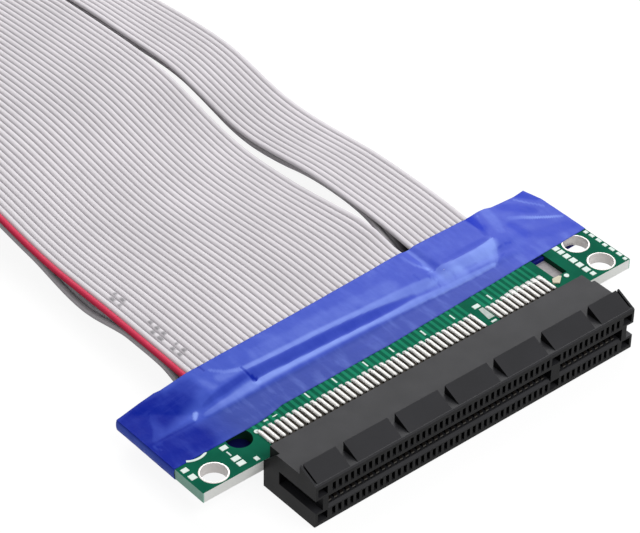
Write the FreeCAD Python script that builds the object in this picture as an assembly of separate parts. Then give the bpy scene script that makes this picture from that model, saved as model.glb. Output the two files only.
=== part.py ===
"""Extension cable for an expansion card: a card slot on a small board, four flat ribbons and an edge plug.

The slot lies on its side on the table. X runs along the slot, +Y along the cable and Z up.
The origin is the centre of the slot housing's underside. All sizes are in millimetres.
"""
import FreeCAD
import Part

import math
import os

Vector = FreeCAD.Vector

# Contact rows, the same above and below the card
pin_pitch = 1.0
signal_pins = 38
power_pins = 11
key_pitch = 3.0

# Slot housing
housing_end = 3.0
slot_depth = 10.3
slot_height = 7.0
rear_setback = 0.65
ear_width = 0.5
ear_slope_run = 2.6
front_bevel = 0.2

# Row of ramps along the top of the mouth
ramp_count = 7
ramp_pitch = 8.6
ramp_gap = 1.3
ramp_rise = 1.35
ramp_run = 2.9
ramp_foot = 0.3
ramp_end_wall = 0.3
ramp_end_gap = 0.25

# Opening for the card, split by the key
card_gap = 1.8
card_depth = 7.6
card_end_play = 0.9
key_width = 1.6
lead_in = 0.3
lead_in_depth = 0.4

# Channels and springs of the contacts, heights counted from the middle of the card
channel_floor = 1.4
channel_height = 1.35
lip_thickness = 0.6
spring_length = 5.6
contact_width = 0.5
contact_side_play = 0.02
contact_top_play = 0.03
blade_height = 0.5
nose_height = 0.5
nose_setback = 1.05
tip_height = 0.95
tip_setback = 0.75
spring_thickness = 0.3
foot_thickness = 0.22
foot_toe = 4.6
foot_heel = 0.45
tail_reach = 0.5

# Blind windows at the ends of the rows and over the key
window_width = 1.55
window_depth = 1.2
window_wall = 0.4

# Guide groove in each end face, in line with the card
groove_height = 2.1
groove_depth = 1.2
groove_length = 7.2

# Slot board
board_length = 75.5
board_depth = 18.0
board_thickness = 1.6
screw_hole_radius = 1.8
screw_hole_end = 3.45
screw_hole_inset = 2.2
second_hole_step = 5.1
peg_beyond_row = 2.8
peg_hole_radius = 1.8
peg_hole_inset = 5.2
peg_slot_width = 2.4
peg_slot_length = 5.0
peg_slot_inset = 3.6

# Ribbons: one conductor per pitch, laid flat in two layers
wire_pitch = 1.0
signal_wire_count = 40
power_wire_count = 11
ribbon_thickness = 0.9
ribbon_right_edge = 25.9
ribbon_split = 1.4
ribbon_on_board = 4.2

# Bare wire ends soldered to the slot board
bare_length = 2.4
bare_width = 0.42
bare_height = 0.32

# Adhesive tape round each board
tape_width = 12.6
tape_thickness = 0.12
tape_play = 0.1
tape_skew_degrees = 2.47
tape_overhang = 1.95
tape_slope = 1.0
tape_shoulder = 1.2

# Edge plug
plug_board_length = 62.0
plug_board_depth = 18.0
plug_tape_overhang = 0.7
tab_reach = 8.25
tab_play = 0.15
tab_bevel = 0.4
tab_bevel_run = 1.0
finger_width = 0.7
finger_length = 5.0
finger_setback = 1.1
finger_thickness = 0.04

# Heights
mid_height = slot_height / 2
half_board = board_thickness / 2
tape_half_height = half_board + ribbon_thickness + tape_play + tape_thickness
plug_mid_height = tape_half_height

# Places along the cable
front_y = -slot_depth / 2
board_front_y = slot_depth / 2
body_rear_y = board_front_y - rear_setback
board_rear_y = board_front_y + board_depth

# Places along the slot
signal_span = (signal_pins - 1) * pin_pitch
power_span = (power_pins - 1) * pin_pitch
row_length = signal_span + key_pitch + power_span
slot_length = row_length + 2 * housing_end
first_pin_x = -row_length / 2
signal_x = [first_pin_x + i * pin_pitch for i in range(signal_pins)]
first_power_x = signal_x[-1] + key_pitch
power_x = [first_power_x + i * pin_pitch for i in range(power_pins)]
pin_rows = {"signal": signal_x, "power": power_x}
key_x = (signal_x[-1] + power_x[0]) / 2
card_sections = [
    (signal_x[0] - card_end_play, key_x - key_width / 2),
    (key_x + key_width / 2, power_x[-1] + card_end_play),
]

# Edges of the two ribbons of a layer
power_right = ribbon_right_edge
power_left = power_right - power_wire_count * wire_pitch
signal_right = power_left - ribbon_split
signal_left = signal_right - signal_wire_count * wire_pitch
ribbon_edges = {"signal": (signal_left, signal_right), "power": (power_left, power_right)}
ribbon_counts = {"signal": signal_wire_count, "power": power_wire_count}

# Middle line of each layer as (y, z), from the slot board to the plug
upper_level = mid_height + half_board + ribbon_thickness / 2
lower_level = mid_height - half_board - ribbon_thickness / 2
upper_plug_level = plug_mid_height + half_board + ribbon_thickness / 2
lower_plug_level = plug_mid_height - half_board - ribbon_thickness / 2
ribbon_start_y = board_rear_y - ribbon_on_board
routes = {
    "upper": [
        (ribbon_start_y, upper_level), (29.0, upper_level), (43.0, 5.7), (57.0, 4.6), (71.0, 6.2), (85.0, 7.3),
        (101.0, 6.7), (121.0, 5.2), (143.0, 4.5), (166.0, 4.8), (190.0, 4.2), (214.0, 3.4), (238.0, 3.5),
        (255.1, upper_plug_level), (267.7, upper_plug_level),
    ],
    "lower": [
        (ribbon_start_y, lower_level), (29.0, lower_level), (43.0, 2.3), (57.0, 3.3), (71.0, 5.1), (85.0, 6.2),
        (101.0, 5.6), (121.0, 4.1), (143.0, 3.4), (166.0, 3.7), (190.0, 3.0), (214.0, 1.9), (238.0, 1.2),
        (255.1, lower_plug_level), (267.7, lower_plug_level),
    ],
}
plug_board_near_y = routes["upper"][-1][0] - ribbon_on_board
plug_board_far_y = plug_board_near_y + plug_board_depth


def box(x0, x1, y0, y1, z0, z1):
    """Block between two opposite corners."""
    return Part.makeBox(x1 - x0, y1 - y0, z1 - z0, Vector(x0, y0, z0))


def prism(outline, x0, x1):
    """Straight bar along X whose section is a closed outline of (y, z) points."""
    points = [Vector(x0, y, z) for y, z in outline]
    face = Part.Face(Part.makePolygon(points + points[:1]))
    return face.extrude(Vector(x1 - x0, 0, 0))


def plate(outline, z0, z1):
    """Flat plate whose plan is a closed outline of (x, y) points."""
    points = [Vector(x, y, z0) for x, y in outline]
    face = Part.Face(Part.makePolygon(points + points[:1]))
    return face.extrude(Vector(0, 0, z1 - z0))


def upside_down(shape, height):
    """Mirror image about the level plane at a height."""
    return shape.mirror(Vector(0, 0, height), Vector(0, 0, 1))


def both_faces(shape):
    """A shape of the slot and its mirror image on the other side of the card."""
    return [shape, upside_down(shape, mid_height)]


# Slot housing

def housing_blank():
    """Outer form: the body, its two ears and the row of ramps between two thin end walls."""
    half = slot_length / 2
    bevel = front_bevel
    top = slot_height
    nose = [
        (front_y, bevel), (front_y + bevel, 0), (body_rear_y, 0),
        (body_rear_y, top), (front_y + bevel, top), (front_y, top - bevel),
    ]
    board_top = mid_height + half_board
    ear = [
        (front_y, bevel), (front_y + bevel, 0), (board_front_y, 0), (board_front_y, board_top),
        (board_front_y - ear_slope_run, top), (front_y + bevel, top), (front_y, top - bevel),
    ]
    ridge_y = front_y + ramp_foot + ramp_run
    ramp = [(front_y + ramp_foot, top), (ridge_y, top), (ridge_y, top + ramp_rise)]
    pieces = [
        prism(nose, -half + ear_width, half - ear_width),
        prism(ear, -half, -half + ear_width),
        prism(ear, half - ear_width, half),
    ]
    gaps = [(i - ramp_count / 2) * ramp_pitch for i in range(1, ramp_count)]
    end_ramp = half - ramp_end_wall - ramp_end_gap
    starts = [-half, -end_ramp] + [x + ramp_gap / 2 for x in gaps] + [half - ramp_end_wall]
    ends = [ramp_end_wall - half] + [x - ramp_gap / 2 for x in gaps] + [end_ramp, half]
    pieces += [prism(ramp, x0, x1) for x0, x1 in zip(starts, ends)]
    return pieces[0].fuse(pieces[1:]).removeSplitter()


def card_opening(x0, x1):
    """One stretch of the gap for the card, with a lead-in on its lower lip."""
    gap = card_gap / 2
    outline = [(front_y, -gap - lead_in), (front_y + lead_in_depth, -gap), (front_y + card_depth, -gap),
               (front_y + card_depth, gap), (front_y, gap)]
    return prism([(y, mid_height + z) for y, z in outline], x0, x1)


def contact_channel(x):
    """Channel of one upper contact: a window in front, a throat down to the card and a slit behind."""
    throat_y = front_y + lip_thickness
    spring_y = front_y + spring_length
    floor = mid_height + channel_floor
    roof = floor + channel_height
    slit = floor + blade_height + contact_top_play
    outline = [(front_y, floor), (throat_y, floor), (throat_y, mid_height), (spring_y, mid_height),
               (spring_y, floor), (body_rear_y, floor), (body_rear_y, slit), (spring_y, slit),
               (spring_y, roof), (front_y, roof)]
    half_width = contact_width / 2 + contact_side_play
    return prism(outline, x - half_width, x + half_width)


def blind_window(x):
    """Moulded relief beside the upper row of channels."""
    floor = mid_height + channel_floor
    half = window_width / 2
    return box(x - half, x + half, front_y, front_y + window_depth, floor, floor + channel_height)


def end_groove(side):
    """Guide groove in one end face, open at the front."""
    outer = side * slot_length / 2
    inner = outer - side * groove_depth
    x0, x1 = sorted((inner, outer))
    low = mid_height - groove_height / 2
    return box(x0, x1, front_y, front_y + groove_length, low, low + groove_height)


def slot_housing():
    """Moulded slot body with its card opening, contact channels, reliefs and guide grooves."""
    window_x = slot_length / 2 - window_wall - window_width / 2
    cuts = [card_opening(x0, x1) for x0, x1 in card_sections]
    for x in signal_x + power_x:
        cuts += both_faces(contact_channel(x))
    for x in (-window_x, key_x, window_x):
        cuts += both_faces(blind_window(x))
    cuts += [end_groove(side) for side in (-1, 1)]
    return housing_blank().cut(cuts)


def contact(x):
    """One upper contact: foot on the board, blade in the slit, spring and nose over the card."""
    spring_y = front_y + spring_length
    blade_low = channel_floor
    blade_high = channel_floor + blade_height
    heel_y = board_front_y + foot_heel
    knee_y = body_rear_y + tail_reach
    outline = [
        (knee_y + foot_thickness / 2, blade_high), (heel_y + foot_thickness / 2, half_board + foot_thickness),
        (board_front_y + foot_toe, half_board + foot_thickness), (board_front_y + foot_toe, half_board),
        (heel_y, half_board), (knee_y, blade_low), (spring_y, blade_low),
        (front_y + nose_setback, nose_height), (front_y + tip_setback, tip_height),
        (front_y + nose_setback, nose_height + spring_thickness), (spring_y, blade_high),
    ]
    half = contact_width / 2
    return prism([(y, mid_height + z) for y, z in outline], x - half, x + half)


# Slot board and what is soldered to it

def socket_board():
    """Board with screw holes, a peg hole and a peg slot."""
    half = board_length / 2
    low = mid_height - half_board
    board = box(-half, half, board_front_y, board_rear_y, low, low + board_thickness)

    def drill(x, inset, radius):
        return Part.makeCylinder(radius, board_thickness, Vector(x, board_front_y + inset, low))

    hole_x = half - screw_hole_end
    peg_x = row_length / 2 + peg_beyond_row
    slot_y = board_front_y + peg_slot_inset
    slot_x = peg_x - peg_slot_width / 2
    cuts = [
        drill(-hole_x, screw_hole_inset, screw_hole_radius),
        drill(hole_x, screw_hole_inset, screw_hole_radius),
        drill(hole_x, screw_hole_inset + second_hole_step, screw_hole_radius),
        drill(-peg_x, peg_hole_inset, peg_hole_radius),
        box(slot_x, slot_x + peg_slot_width, slot_y, slot_y + peg_slot_length, low, low + board_thickness),
    ]
    return board.cut(cuts)


def bare_wire_ends(name):
    """Stripped wire ends of one upper ribbon, lying on the slot board."""
    level = mid_height + half_board
    left = ribbon_edges[name][0]
    middles = [left + (i + 0.5) * wire_pitch for i in range(ribbon_counts[name])]
    return [
        box(x - bare_width / 2, x + bare_width / 2, ribbon_start_y - bare_length, ribbon_start_y,
            level, level + bare_height)
        for x in middles
    ]


# Ribbons

def route_arcs(points):
    """Start, middle, end and centre of the arc at each inner point of a route, with its radius."""
    arcs = []
    for before, corner, after in zip(points, points[1:], points[2:]):
        came = Vector(0, corner[0] - before[0], corner[1] - before[1])
        goes = Vector(0, after[0] - corner[0], after[1] - corner[1])
        reach = 0.45 * min(came.Length, goes.Length)
        came.normalize()
        goes.normalize()
        turn = came.getAngle(goes)
        radius = reach / math.tan(turn / 2)
        inward = goes - came
        inward.normalize()
        middle = Vector(0, corner[0], corner[1])
        centre = middle + inward * (radius / math.cos(turn / 2))
        arcs.append((middle - came * reach, centre - inward * radius, middle + goes * reach, centre, radius))
    return arcs


def route_edges(points, lift):
    """Straight runs and tangent arcs of a route, moved sideways by a lift towards +Z."""
    def side(a, b):
        run = b - a
        normal = Vector(0, -run.z, run.y)
        normal.normalize()
        return normal * lift

    first = Vector(0, *points[0])
    last = Vector(0, *points[-1])
    arcs = route_arcs(points)
    edges = []
    here = first + side(first, arcs[0][0])
    for start, middle, end, centre, radius in arcs:
        # The arc turns left when its centre lies above the chord
        grow = -lift if centre.z > middle.z else lift
        moved = [centre + (p - centre) * ((radius + grow) / radius) for p in (start, middle, end)]
        edges.append(Part.LineSegment(here, moved[0]).toShape())
        edges.append(Part.Arc(*moved).toShape())
        here = moved[2]
    edges.append(Part.LineSegment(here, last + side(arcs[-1][2], last)).toShape())
    return edges


def ribbon(layer, name):
    """Flat ribbon along a layer's route, between two edges along X."""
    points = routes[layer]
    left, right = ribbon_edges[name]
    top = route_edges(points, ribbon_thickness / 2)
    bottom = route_edges(points, -ribbon_thickness / 2)
    ends = [
        Part.LineSegment(bottom[i].Vertexes[i].Point, top[i].Vertexes[i].Point).toShape() for i in (0, -1)
    ]
    outline = Part.Wire(Part.__sortEdges__(top + bottom + ends))
    solid = Part.Face(outline).extrude(Vector(right - left, 0, 0))
    solid.translate(Vector(left, 0, 0))
    length = sum(edge.Length for edge in route_edges(points, 0.0))
    section = ribbon_thickness * (right - left)
    print(layer, name, "length %.1f, volume over section by length %.5f" % (length, solid.Volume / section / length))
    print("  radii", [round(arc[4]) for arc in route_arcs(points)])
    return solid


# Tape

def tape_core(stations, middle, half_length, grow):
    """Solid body inside a wrap: tight on the board's ends, lifted over the ribbons along (y, bulge) stations."""
    thin = half_board + tape_play + grow
    thick = thin + ribbon_thickness
    edge = half_length + tape_play + grow
    left = signal_left - tape_play - grow
    right = power_right + tape_play + grow
    across = [(-edge, thin), (left - tape_shoulder, thin), (left, thick),
              (right, thick), (right + tape_shoulder, thin), (edge, thin)]
    across += [(x, -z) for x, z in reversed(across)]
    along = [(y, thin + bulge) for y, bulge in stations]
    along += [(y, -z) for y, z in reversed(along)]
    start = stations[0][0]
    points = [Vector(x, start, middle + z) for x, z in across]
    face = Part.Face(Part.makePolygon(points + points[:1]))
    bar = face.extrude(Vector(0, stations[-1][0] - start, 0))
    return bar.common(prism([(y, middle + z) for y, z in along], -edge, edge))


def tape_band(stations, middle, half_length, centre_y, skew):
    """Band of tape of full width round a board, turned by a skew about the vertical."""
    shell = tape_core(stations, middle, half_length, tape_thickness)
    shell = shell.cut(tape_core(stations, middle, half_length, 0.0))
    reach = board_length
    window = box(-reach, reach, -tape_width / 2, tape_width / 2, -slot_height, 2 * slot_height)
    window.rotate(Vector(0, 0, 0), Vector(0, 0, 1), skew)
    window.translate(Vector(0, centre_y, 0))
    return shell.common(window)


def socket_tape():
    """Tape round the slot board and the ribbon ends."""
    wire_tip_y = ribbon_start_y - bare_length
    stations = [(board_front_y, 0.0), (wire_tip_y - tape_slope, 0.0), (wire_tip_y, bare_height),
                (ribbon_start_y, ribbon_thickness), (board_rear_y + tape_width, ribbon_thickness)]
    centre_y = board_rear_y + tape_overhang - tape_width / 2
    return tape_band(stations, mid_height, board_length / 2, centre_y, tape_skew_degrees)


def plug_tape():
    """Tape round the plug board and the far ribbon ends."""
    step = plug_board_near_y + ribbon_on_board
    stations = [(plug_board_near_y - tape_width, ribbon_thickness), (step, ribbon_thickness),
                (step + tape_slope, 0.0), (plug_board_far_y, 0.0)]
    centre_y = plug_board_near_y - plug_tape_overhang + tape_width / 2
    return tape_band(stations, plug_mid_height, plug_board_length / 2, centre_y, 0.0)


# Edge plug

def plug_board():
    """Board whose bevelled tab fits the card opening and clears its key."""
    half = plug_board_length / 2
    near = plug_board_near_y
    far = plug_board_far_y
    tip = far + tab_reach
    tab_left = card_sections[0][0] + tab_play
    tab_right = card_sections[1][1] - tab_play
    notch_left = card_sections[0][1] - tab_play
    notch_right = card_sections[1][0] + tab_play
    outline = [
        (-half, near), (half, near), (half, far), (tab_right, far), (tab_right, tip), (notch_right, tip),
        (notch_right, far), (notch_left, far), (notch_left, tip), (tab_left, tip), (tab_left, far), (-half, far),
    ]
    low = plug_mid_height - half_board
    high = plug_mid_height + half_board
    board = plate(outline, low, high)
    bevel = prism([(tip - tab_bevel_run, high), (tip, high - tab_bevel), (tip, high)], tab_left, tab_right)
    return board.cut([bevel, upside_down(bevel, plug_mid_height)])


def plug_fingers(name):
    """Upper row of gold fingers of one group on the plug's tab."""
    end = plug_board_far_y + tab_reach - finger_setback
    level = plug_mid_height + half_board
    return [
        box(x - finger_width / 2, x + finger_width / 2, end - finger_length, end, level, level + finger_thickness)
        for x in pin_rows[name]
    ]


def build():
    """Every piece of the cable by its node's name."""
    parts = {
        "slot_housing": slot_housing(),
        "socket_board": socket_board(),
        "socket_tape": socket_tape(),
        "plug_board": plug_board(),
        "plug_tape": plug_tape(),
    }
    for name in ("signal", "power"):
        upper = Part.makeCompound([contact(x) for x in pin_rows[name]])
        parts["upper_%s_contacts" % name] = upper
        parts["lower_%s_contacts" % name] = upside_down(upper, mid_height)
        fingers = Part.makeCompound(plug_fingers(name))
        parts["plug_upper_%s_fingers" % name] = fingers
        parts["plug_lower_%s_fingers" % name] = upside_down(fingers, plug_mid_height)
        ends = Part.makeCompound(bare_wire_ends(name))
        parts["upper_%s_wire_ends" % name] = ends
        parts["lower_%s_wire_ends" % name] = upside_down(ends, mid_height)
        for layer in routes:
            parts["%s_%s_ribbon" % (layer, name)] = ribbon(layer, name)
    return parts


os.makedirs("parts", exist_ok=True)
for node, shape in build().items():
    shape.exportStep(os.path.join("parts", node + ".step"))
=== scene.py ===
import math

import bpy
from mathutils import Matrix, Vector


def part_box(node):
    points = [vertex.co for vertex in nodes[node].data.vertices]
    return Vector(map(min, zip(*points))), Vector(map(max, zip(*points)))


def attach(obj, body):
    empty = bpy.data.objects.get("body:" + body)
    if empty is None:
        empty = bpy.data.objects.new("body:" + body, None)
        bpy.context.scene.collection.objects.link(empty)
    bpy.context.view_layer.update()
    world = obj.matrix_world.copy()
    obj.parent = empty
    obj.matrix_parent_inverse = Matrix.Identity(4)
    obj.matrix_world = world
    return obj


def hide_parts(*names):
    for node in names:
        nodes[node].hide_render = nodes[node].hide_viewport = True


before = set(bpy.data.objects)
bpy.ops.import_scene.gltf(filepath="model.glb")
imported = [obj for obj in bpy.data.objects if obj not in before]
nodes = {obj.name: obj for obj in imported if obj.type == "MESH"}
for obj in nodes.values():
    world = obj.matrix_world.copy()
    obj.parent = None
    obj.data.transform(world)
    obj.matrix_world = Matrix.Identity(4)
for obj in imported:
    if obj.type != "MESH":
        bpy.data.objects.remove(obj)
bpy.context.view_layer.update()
scene = bpy.context.scene

# Lengths below are in millimetres unless a line says metres
MM = 0.001

# Boards, with the places taken from the solids
board_low, board_high = (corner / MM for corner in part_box("socket_board"))
plug_low, plug_high = (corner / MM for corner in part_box("plug_board"))
BOARD_MIDDLE = (board_low.z + board_high.z) / 2
PLUG_MIDDLE = (plug_low.z + plug_high.z) / 2
HALF_BOARD = 0.8
BOARD_FACES = ((1, "upper"), (-1, "lower"))

# Contact rows
PIN_PLACES = [-25.0 + i for i in range(38)] + [15.0 + i for i in range(11)]

# What lies on the boards
PRINT_THICKNESS = 0.055
COPPER_THICKNESS = 0.04
PLUG_COPPER_THICKNESS = 0.035
FLUX_THICKNESS = 0.05
STRIP_SLOPE = 0.04
RIM_THICKNESS = 0.03

# Ribbons: one wire per pitch, the first wire of the upper signal ribbon is red
WIRE_PITCH = 1.0
WIRE_RADIUS = 0.45
SIGNAL_LEFT = -26.5
POWER_LEFT = 14.9
SIGNAL_WIRES = 40
POWER_WIRES = 11

# Points over and under each wire, and how far a joined wire's arc would reach from its middle, in pitches
POINTS_OVER_WIRE = 7
POINTS_UNDER_WIRE = 3
OUTER_REACH = 0.5
JOINED_REACH = 0.52

# Each ribbon's route in metres: (y, height of its left edge, height of its right edge). The two ribbons of a
# layer share their far end
UPPER_FAR_END = [
    (0.166, 0.0048, 0.0048), (0.19, 0.0042, 0.0042), (0.214, 0.0035, 0.0035), (0.238, 0.0034, 0.0034),
    (0.2551, 0.00317, 0.00317), (0.262, 0.00317, 0.00317), (0.2677, 0.00317, 0.00317),
]
LOWER_FAR_END = [
    (0.166, 0.0037, 0.0037), (0.19, 0.003, 0.003), (0.214, 0.002, 0.002), (0.238, 0.0013, 0.0013),
    (0.2551, 0.00067, 0.00067), (0.262, 0.00067, 0.00067), (0.2677, 0.00067, 0.00067),
]
UPPER_SIGNAL_ROUTE = [
    (0.01895, 0.00475, 0.00475), (0.0225, 0.00475, 0.00475), (0.025, 0.00468, 0.00475),
    (0.028, 0.00475, 0.00485), (0.031, 0.00478, 0.005), (0.034, 0.0048, 0.005), (0.037, 0.00485, 0.0048),
    (0.041, 0.0049, 0.0044), (0.045, 0.00482, 0.00395), (0.049, 0.00476, 0.00355), (0.053, 0.00472, 0.0033),
    (0.057, 0.00495, 0.0031), (0.061, 0.00535, 0.0032), (0.065, 0.00595, 0.0037), (0.069, 0.0065, 0.0045),
    (0.073, 0.0069, 0.0055), (0.077, 0.0072, 0.0065), (0.081, 0.0074, 0.00705), (0.086, 0.0075, 0.0073),
    (0.092, 0.0075, 0.0072), (0.099, 0.0072, 0.0069), (0.106, 0.0067, 0.0066), (0.121, 0.0054, 0.0054),
    (0.143, 0.0045, 0.0045), *UPPER_FAR_END,
]
LOWER_SIGNAL_ROUTE = [
    (0.01895, 0.00225, 0.00225), (0.0225, 0.00225, 0.00225), (0.025, 0.0026, 0.0023),
    (0.028, 0.0037, 0.003), (0.031, 0.00385, 0.0039), (0.034, 0.00385, 0.0041), (0.037, 0.00385, 0.0039),
    (0.041, 0.003, 0.0035), (0.045, 0.0021, 0.0029), (0.049, 0.0022, 0.0025), (0.053, 0.00295, 0.0022),
    (0.057, 0.0039, 0.002), (0.061, 0.00435, 0.0021), (0.065, 0.00495, 0.0026), (0.069, 0.0055, 0.0034),
    (0.073, 0.0059, 0.0044), (0.077, 0.0062, 0.0054), (0.081, 0.0064, 0.00595), (0.086, 0.0065, 0.0062),
    (0.092, 0.0064, 0.0061), (0.099, 0.0061, 0.0058), (0.106, 0.0056, 0.0055), (0.121, 0.0042, 0.0042),
    (0.143, 0.0034, 0.0034), *LOWER_FAR_END,
]
UPPER_POWER_ROUTE = [
    (0.01895, 0.00475, 0.00475), (0.0225, 0.00475, 0.00475), (0.026, 0.00476, 0.00476),
    (0.029, 0.0051, 0.0051), (0.034, 0.00545, 0.00533), (0.038, 0.0055, 0.00535), (0.042, 0.00548, 0.00536),
    (0.046, 0.00542, 0.00525), (0.05, 0.00508, 0.00485), (0.054, 0.0045, 0.00442), (0.058, 0.004, 0.0041),
    (0.062, 0.00372, 0.00395), (0.066, 0.004, 0.0041), (0.07, 0.0048, 0.0047), (0.074, 0.00565, 0.0056),
    (0.078, 0.0064, 0.0063), (0.082, 0.00675, 0.00648), (0.087, 0.0066, 0.0063), (0.093, 0.00635, 0.00585),
    (0.1, 0.0062, 0.00525), (0.107, 0.0057, 0.005), (0.121, 0.0047, 0.0047), (0.143, 0.0044, 0.0044),
    *UPPER_FAR_END,
]
LOWER_POWER_ROUTE = [
    (0.01895, 0.00225, 0.00225), (0.0225, 0.00225, 0.00225), (0.026, 0.0027, 0.0026),
    (0.03, 0.0039, 0.0036), (0.034, 0.0044, 0.0041), (0.038, 0.00452, 0.0042), (0.042, 0.00445, 0.00425),
    (0.046, 0.0044, 0.0042), (0.05, 0.00405, 0.0038), (0.054, 0.0033, 0.00335), (0.058, 0.0028, 0.003),
    (0.062, 0.0025, 0.0029), (0.066, 0.0029, 0.003), (0.07, 0.0038, 0.0036), (0.074, 0.0047, 0.0045),
    (0.078, 0.0054, 0.0052), (0.082, 0.0057, 0.0054), (0.087, 0.0056, 0.0052), (0.093, 0.00535, 0.0048),
    (0.1, 0.0052, 0.0042), (0.107, 0.0047, 0.00395), (0.121, 0.0036, 0.0036), (0.143, 0.0033, 0.0033),
    *LOWER_FAR_END,
]

# How far the upper signal ribbon's last wires curl up, by y, and over how many wires the curl fades
RIGHT_EDGE_CURL = [
    (0.0, 0.0), (27.0, 0.0), (31.0, 0.6), (34.5, 0.7), (38.0, 0.4), (43.0, 0.15), (48.0, 0.0), (300.0, 0.0),
]
CURL_FADE = 2.5

# How far the lower power ribbon lies to the right, by y
LOWER_POWER_ASIDE = [
    (0.0, 0.0), (23.5, 0.0), (26.5, -0.9), (30.0, -0.8), (36.0, 0.4), (42.0, 0.7), (48.0, 0.6),
    (56.0, 0.3), (66.0, 0.3), (78.0, 0.5), (95.0, 0.2), (110.0, 0.0), (300.0, 0.0),
]
NO_CURL = NOT_ASIDE = [(0.0, 0.0), (300.0, 0.0)]

# Printed dashes on the upper signal ribbon: (wire, from y, to y). Wires count from 0, the red one
RIBBON_DASHES = [
    (2, 27.2, 28.0), (3, 27.7, 28.5), (2, 28.8, 29.5), (3, 29.3, 29.9), (2, 31.4, 32.2), (3, 31.9, 32.7),
    (2, 33.1, 33.9), (3, 33.6, 34.3), (3, 35.0, 35.7), (2, 40.4, 41.1), (3, 41.0, 41.8), (2, 42.1, 42.9),
    (3, 42.8, 43.5),
]

# Ink and groove values painted on the ribbons: full ink, also used as painted shade in the gap between the
# ribbons, and the painted shade of an edge that lies in the dark
FULL_INK_AND_SHADE = 1.6
DARK_EDGE = 2.0

# Edges of the blue tape round the slot board, as (x, y)
TAPE_FRONT = [(-38.0, 10.95), (-24.0, 11.1), (-21.5, 11.45), (-19.5, 11.9), (0.0, 12.25), (38.0, 14.1)]
TAPE_FRONT_BELOW = [(-38.0, 10.95), (-31.5, 9.15), (-25.7, 9.15), (-25.3, 11.2), (0.0, 12.2), (38.0, 13.85)]
TAPE_REAR = [
    (-38.0, 23.1), (-36.2, 23.45), (-33.8, 23.75), (-31.2, 23.95), (-30.2, 23.75), (-25.0, 23.95),
    (-12.0, 24.3), (-4.0, 24.6), (4.0, 24.95), (13.5, 25.45), (16.7, 25.45), (25.2, 25.4), (28.0, 26.0),
    (29.5, 26.15), (30.6, 25.95), (35.3, 26.3), (38.0, 26.85),
]

# How far the taut tape reaches from the ribbons' edges down to the board, as (y, reach), and at the plug
TAUT_LEFT = [(14.0, 2.0), (18.0, 4.0), (23.2, 10.5), (27.0, 11.0)]
TAUT_RIGHT = [(14.0, 3.0), (18.0, 5.0), (23.2, 9.0), (27.0, 11.9)]
PLUG_TAUT = 4.0
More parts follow.
